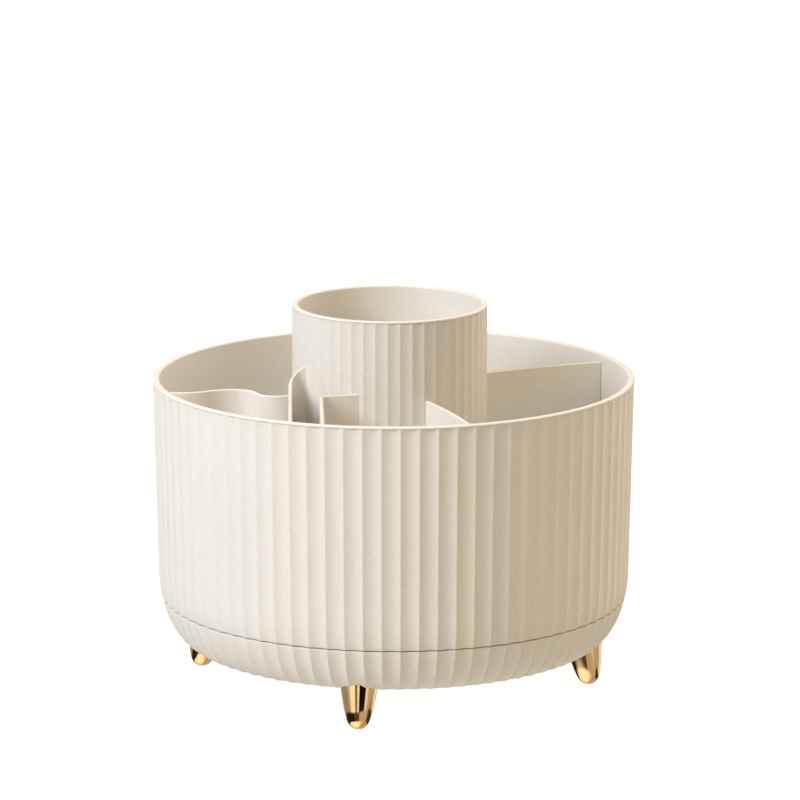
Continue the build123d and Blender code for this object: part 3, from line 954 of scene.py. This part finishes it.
# small screws; seat is the height under the head, and way is 1 where the head is on top
shortScrew = {"radius": 1.25, "length": 4.6, "headRadius": 2.4, "headHeight": 1.0}
screwKinds = {
    "foot_screws": {
        "body": "base", "spots": "feet", "seat": 24.6, "way": 1,
        "radius": 1.5, "length": 11.0, "headRadius": 2.8, "headHeight": 2.2,
    },
    "lower_race_screws": {"body": "base", "spots": "lowerRace", "seat": 28.6, "way": 1, **shortScrew},
    "upper_race_screws": {"body": "tub", "spots": "upperRace", "seat": 33.7, "way": -1, **shortScrew},
    "insert_screws": {
        "body": "tub", "spots": "insert", "seat": 36.2, "way": -1,
        "radius": 1.5, "length": 8.0, "headRadius": 2.8, "headHeight": 2.2,
    },
}
screwDetail = {
    "pitch": 0.7,
    "threadDepth": 0.276,
    "plainLength": 0.6,
    "dome": 0.65,   # share of the head's height
    "headEdge": 0.12,
    "recessDepth": 0.62,   # share of the head's height
    "recessReach": 0.58,   # shares of the head's radius
    "recessWidth": 0.24,
    "recessTurn": 0.4,
}


def screwMesh(centre, kind):
    # domed head with a cross recess, and a thread that winds down the shaft
    seat, way, radius, length = kind["seat"], kind["way"], kind["radius"], kind["length"]
    headRadius, headHeight = kind["headRadius"], kind["headHeight"]
    pitch, plainLength, dome = screwDetail["pitch"], screwDetail["plainLength"], screwDetail["dome"]
    edge = screwDetail["headEdge"]
    rows = plainRows([
        *[(headRadius * out, seat + way * headHeight * (1 - dome * (1 - up))) for up, out in quarter(8)],
        (headRadius, seat + way * edge), (headRadius - edge, seat), (radius, seat),
    ])
    along, end = plainLength, length - 0.9 * radius
    while along < end:
        fade = min(1.0, (along - plainLength) / pitch, (end - along) / pitch)
        rows.append((radius, seat - way * along, screwDetail["threadDepth"] * fade))
        along += pitch / 8
    rows += plainRows([
        (radius * 0.92, seat - way * end), (radius * 0.25, seat - way * (length - 0.1)),
        (0.0, seat - way * length),
    ])
    screw = turned("screw", rows, 32, centre, pitch=pitch)
    deep = headHeight * (1 - screwDetail["recessDepth"])
    low, high = sorted((seat + way * deep, seat + way * (headHeight + 1)))
    reach, width = headRadius * screwDetail["recessReach"], headRadius * screwDetail["recessWidth"]
    for turn in (screwDetail["recessTurn"], screwDetail["recessTurn"] + math.pi / 2):
        slot = bar("slot", -reach, reach, width, turn, low, high)
        slot.data.transform(Matrix.Translation((centre[0] * mm, centre[1] * mm, 0)))
        combine(screw, slot, "DIFFERENCE")
    return screw


for node, bottom, grooveUp, body, spots in (
    ("lower_race", track["lowerBottom"], True, "base", screwSpots["lowerRace"]),
    ("upper_race", track["upperBottom"], False, "tub", screwSpots["upperRace"]),
):
    race = raceMesh(node.replace("_", "-") + "-ring", bottom, grooveUp, spots)
    dress(race, raceSteel, body, [node], 25)

middle, half = track["ballHeight"], track["cageThick"] / 2
cage = turned("cage-ring", ringRows(
    track["ring"] - track["cageHalf"], track["ring"] + track["cageHalf"],
    middle - half, middle + half, track["cageEdge"],
), 192)
for place in ballSpots:
    combine(cage, plug(*track["pocket"], spot(place), 40), "DIFFERENCE")
dress(cage, nylon, "cage", ["ball_cage"], 25)

radius = track["ballRadius"]
turns = [math.pi * k / 20 for k in range(1, 20)]
ballRows = plainRows([
    (0.0, middle - radius),
    *[(radius * math.sin(angle), middle - radius * math.cos(angle)) for angle in turns],
    (0.0, middle + radius),
])
balls = [turned("ball", ballRows, 32, spot(place)) for place in ballSpots]
dress(gather("steel-balls", balls), ballSteel, "cage", ["bearing_balls"], 60)
print("ball track made")

spindle = {
    "radius": 3.0,
    "bottom": 17.4,
    "headBottom": 42.2,
    "headRadius": 5.5,
    "headHeight": 3.0,
    "headFlat": 3.0,   # radius of the flat round the socket
    "dome": 0.75,   # share of the head's height
    "headEdge": 0.2,
    "shankBottom": 34.0,
    "threadTop": 26.0,
    "threadDepth": 0.45,
    "pitch": 1.0,
    "hexAcross": 4.0,
    "hexDeep": 2.0,
}
nut = {
    "across": 10.0,
    "height": 4.0,
    "faceRadius": 4.9,
    "cornerRadius": 5.8,
    "cornerDrop": 0.5,
    "bore": 3.08,
    "mouth": 3.5,
    "mouthDepth": 0.42,
}
bush = {
    "bore": 3.05,
    "radius": 5.0,
    "flangeRadius": 8.0,
    "bottom": 30.2,
    "flangeTop": 31.4,
    "top": 41.0,
    "edge": 0.3,
    "topEdge": 0.4,
}
washers = {
    "bore": 3.2,
    "radius": 8.0,
    "thick": 1.0,
    "edge": 0.15,
    "bottoms": {"thrust_washer": 29.0, "top_washer": 41.2},
}


def spindleMesh():
    # button head with a hexagon socket, a plain shank and a thread at the nut
    seat, head, dome = spindle["headBottom"], spindle["headHeight"], spindle["dome"]
    radius, headRadius, flat = spindle["radius"], spindle["headRadius"], spindle["headFlat"]
    bottom, threadTop, pitch = spindle["bottom"], spindle["threadTop"], spindle["pitch"]
    rows = plainRows([
        (0.0, seat + head),
        *[(flat + (headRadius - flat) * out, seat + head * (1 - dome * (1 - up))) for up, out in quarter(8)],
        (headRadius, seat + spindle["headEdge"]), (headRadius - spindle["headEdge"], seat), (radius, seat),
        (radius, spindle["shankBottom"]), (radius, threadTop),
    ])
    height = threadTop - pitch / 8
    while height > bottom + 0.6:
        fade = min(1.0, (threadTop - height) / pitch)
        rows.append((radius, height, spindle["threadDepth"] * fade))
        height -= pitch / 8
    rows += plainRows([(radius - 0.5, bottom), (0.0, bottom)])
    screw = turned("spindle-bolt", rows, 64, pitch=pitch)
    hexagon = polygon(6, spindle["hexAcross"] / math.sqrt(3))
    socket = block("socket", hexagon, seat + head - spindle["hexDeep"], seat + head + 1)
    combine(screw, socket, "DIFFERENCE")
    return screw


def nutMesh():
    # hexagon with its corners chamfered top and bottom
    low, high = spindle["bottom"], spindle["bottom"] + nut["height"]
    face, corner, drop = nut["faceRadius"], nut["cornerRadius"], nut["cornerDrop"]
    bore, mouth, deep = nut["bore"], nut["mouth"], nut["mouthDepth"]
    piece = block("hexagon-nut", polygon(6, nut["across"] / math.sqrt(3), math.radians(30)), low, high)
    combine(piece, turned("chamfer", plainRows([
        (0.0, low), (face, low), (corner, low + drop), (corner, high - drop), (face, high), (0.0, high),
    ]), 72), "INTERSECT")
    combine(piece, turned("bore", plainRows([
        (0.0, low - 1), (mouth, low - 0.01), (bore, low + deep),
        (bore, high - deep), (mouth, high + 0.01), (0.0, high + 1),
    ]), 64), "DIFFERENCE")
    return piece


def bushMesh():
    bore, radius, flange, edge = bush["bore"], bush["radius"], bush["flangeRadius"], bush["edge"]
    bottom, flangeTop, top, topEdge = bush["bottom"], bush["flangeTop"], bush["top"], bush["topEdge"]
    return turned("flanged-bush", plainRows([
        (bore, bottom + edge), (bore + edge, bottom), (flange - edge, bottom), (flange, bottom + edge),
        (flange, flangeTop - edge), (flange - edge, flangeTop), (radius, flangeTop),
        (radius, top - topEdge), (radius - topEdge, top), (bore + edge, top), (bore, top - edge),
    ]), 96)


dress(spindleMesh(), zincCoat, "base", ["spindle_screw"], 30)
dress(nutMesh(), zincCoat, "base", ["spindle_nut"], 30)
dress(bushMesh(), nylon, "tub", ["hub_bush"], 30)
for node, low in washers["bottoms"].items():
    rows = ringRows(washers["bore"], washers["radius"], low, low + washers["thick"], washers["edge"])
    washer = turned(node.replace("_", "-") + "-ring", rows, 96)
    dress(washer, raceSteel, "base", [node], 30)

for node, kind in screwKinds.items():
    group = [screwMesh(spot(place), kind) for place in screwSpots[kind["spots"]]]
    dress(gather(node.replace("_", "-") + "-group", group), zincCoat, kind["body"], [node], 35)
print("spindle and screws made")


studio = {
    "keyPower": 25.5,
    "keyPlace": (-1.200, -0.750, 1.133),
    "keyAim": (0, 0, 0.08),
    "keySize": (0.6, 0.9),
    "keyColour": (0.96, 0.985, 1.04),
    "floorLow": (0.30, 0.30, 0.30),
    "floorHigh": (0.31, 0.31, 0.31),
    "floorScale": 3.0,
    "floorRough": 0.9,
    "floorGlow": 0.86,
    # light round the object by direction: degrees from the front towards the right, and the colour there
    "top": [
        (-180, (1.35, 1.24, 1.05)), (-60, (1.25, 1.22, 1.15)), (60, (1.22, 1.06, 0.84)),
        (180, (1.35, 1.24, 1.05)),
    ],
    "above": [
        (-180, (0.42, 0.36, 0.28)), (-120, (0.06, 0.06, 0.06)), (-40, (0.08, 0.08, 0.08)),
        (-5, (0.40, 0.32, 0.20)), (25, (0.52, 0.33, 0.07)), (60, (0.70, 0.50, 0.24)),
        (104, (0.82, 0.64, 0.40)), (110, (1.80, 1.62, 1.37)), (150, (1.80, 1.62, 1.37)),
        (156, (0.60, 0.52, 0.42)), (180, (0.42, 0.36, 0.28)),
    ],
    # what the polished feet mirror: pale screens with dark gaps between them
    "level": [
        (-180, (0.50, 0.44, 0.35)), (-90, (0.35, 0.33, 0.30)), (-64, (0.60, 0.60, 0.58)),
        (-56, (1.18, 1.18, 1.15)), (-27, (1.25, 1.25, 1.20)), (-24, (0.22, 0.18, 0.13)),
        (-12, (0.22, 0.18, 0.13)), (-10, (1.05, 1.05, 1.00)), (1, (1.05, 1.05, 1.00)),
        (3, (0.012, 0.006, 0.003)), (42, (0.014, 0.008, 0.004)), (45, (1.10, 1.08, 1.02)),
        (57, (0.95, 0.92, 0.85)), (64, (0.58, 0.54, 0.46)), (112, (0.52, 0.48, 0.40)),
        (118, (1.10, 1.00, 0.84)), (150, (1.10, 1.00, 0.84)), (158, (0.30, 0.25, 0.18)),
        (180, (0.30, 0.25, 0.18)),
    ],
    "low": [
        (-180, (0.03, 0.02, 0.012)), (-110, (0.03, 0.02, 0.012)), (-40, (0.02, 0.012, 0.006)),
        (-30, (0.10, 0.07, 0.05)), (4, (0.10, 0.07, 0.05)), (10, (0.55, 0.50, 0.40)),
        (74, (0.62, 0.56, 0.46)), (88, (0.09, 0.055, 0.03)), (180, (0.03, 0.02, 0.012)),
    ],
    "under": [
        (-180, (0.70, 0.64, 0.54)), (-60, (1.50, 1.47, 1.38)), (0, (1.50, 1.37, 1.14)),
        (60, (0.52, 0.39, 0.24)), (180, (0.70, 0.64, 0.54)),
    ],
    # rings of light from below upwards, and the heights of unit directions between which each one fades in
    "rings": [("low", -0.68, -0.60), ("level", -0.43, -0.39), ("above", -0.02, 0.10), ("top", 0.64, 0.78)],
}

# a pale floor that curves up into a backdrop on all sides; it is only seen, and the rings light the object
cove = turned("floor", plainRows([
    (0, 0), (3000, 0), (6500, 0), (7200, 120), (7700, 500), (7950, 1200),
    (8000, 2500), (7400, 4600), (4600, 7000), (0, 8000),
]), 64)
cove.data.flip_normals()
cove.data.shade_smooth()
cove.visible_diffuse = False
cove.visible_glossy = False
cove.visible_transmission = False
cove.visible_shadow = False
paper, paperNodes, paperLinks, paperShader, paperPlace = startMaterial("floor paper")
patches = noise(paperNodes, paperLinks, paperPlace, studio["floorScale"])
tone = ramp(paperNodes, paperLinks, patches, [(0.3, studio["floorLow"]), (0.7, studio["floorHigh"])])
paperLinks.new(tone, paperShader.inputs["Base Color"])
paperShader.inputs["Roughness"].default_value = studio["floorRough"]
paperShader.inputs["Emission Color"].default_value = (1, 1, 1, 1)
paperShader.inputs["Emission Strength"].default_value = studio["floorGlow"]
cove.data.materials.append(paper)


def ringOfLight(nodes, links, turn, stops):
    return ramp(nodes, links, turn, [(angle / 360 + 0.5, colour) for angle, colour in stops])


world = bpy.data.worlds.new("studio")
world.use_nodes = True
nodes, links = world.node_tree.nodes, world.node_tree.links
direction = nodes.new("ShaderNodeTexCoord")
parts = nodes.new("ShaderNodeSeparateXYZ")
links.new(direction.outputs["Generated"], parts.inputs[0])
forward = nodes.new("ShaderNodeMath")
forward.operation = "MULTIPLY"
forward.inputs[1].default_value = -1.0
links.new(parts.outputs["Y"], forward.inputs[0])
turn = nodes.new("ShaderNodeMath")
turn.operation = "ARCTAN2"
links.new(parts.outputs["X"], turn.inputs[0])
links.new(forward.outputs[0], turn.inputs[1])
share = rescale(nodes, links, turn.outputs[0], -math.pi, math.pi)
light = ringOfLight(nodes, links, share, studio["under"])
for ring, low, high in studio["rings"]:
    upper = ringOfLight(nodes, links, share, studio[ring])
    light = blend(nodes, links, light, upper, rescale(nodes, links, parts.outputs["Z"], low, high))
links.new(light, nodes["Background"].inputs["Color"])
nodes["Background"].inputs["Strength"].default_value = 1.0
scene.world = world
scene.view_settings.view_transform = "Standard"

keyLamp = bpy.data.lights.new("key", "AREA")
keyLamp.shape = "RECTANGLE"
keyLamp.size, keyLamp.size_y = studio["keySize"]
keyLamp.energy = studio["keyPower"]
keyLamp.color = studio["keyColour"]
keyLight = bpy.data.objects.new("key", keyLamp)
keyLight.location = studio["keyPlace"]
keyWay = Vector(studio["keyAim"]) - Vector(studio["keyPlace"])
keyLight.rotation_euler = keyWay.to_track_quat("-Z", "Y").to_euler()
scene.collection.objects.link(keyLight)

view = {
    "lens": 206.44,
    "sensor": 36.0,
    "reach": 60.0,
    "place": (0, -1.8646, 0.5238),
    "tip": 0.21434,   # down from level
    "turn": -0.00141,
}
lens = bpy.data.cameras.new("camera")
lens.lens = view["lens"]
lens.sensor_width = view["sensor"]
lens.clip_end = view["reach"]
camera = bpy.data.objects.new("camera", lens)
camera.location = view["place"]
camera.rotation_euler = (math.pi / 2 - view["tip"], 0, view["turn"])
scene.collection.objects.link(camera)
scene.camera = camera
print("studio made")
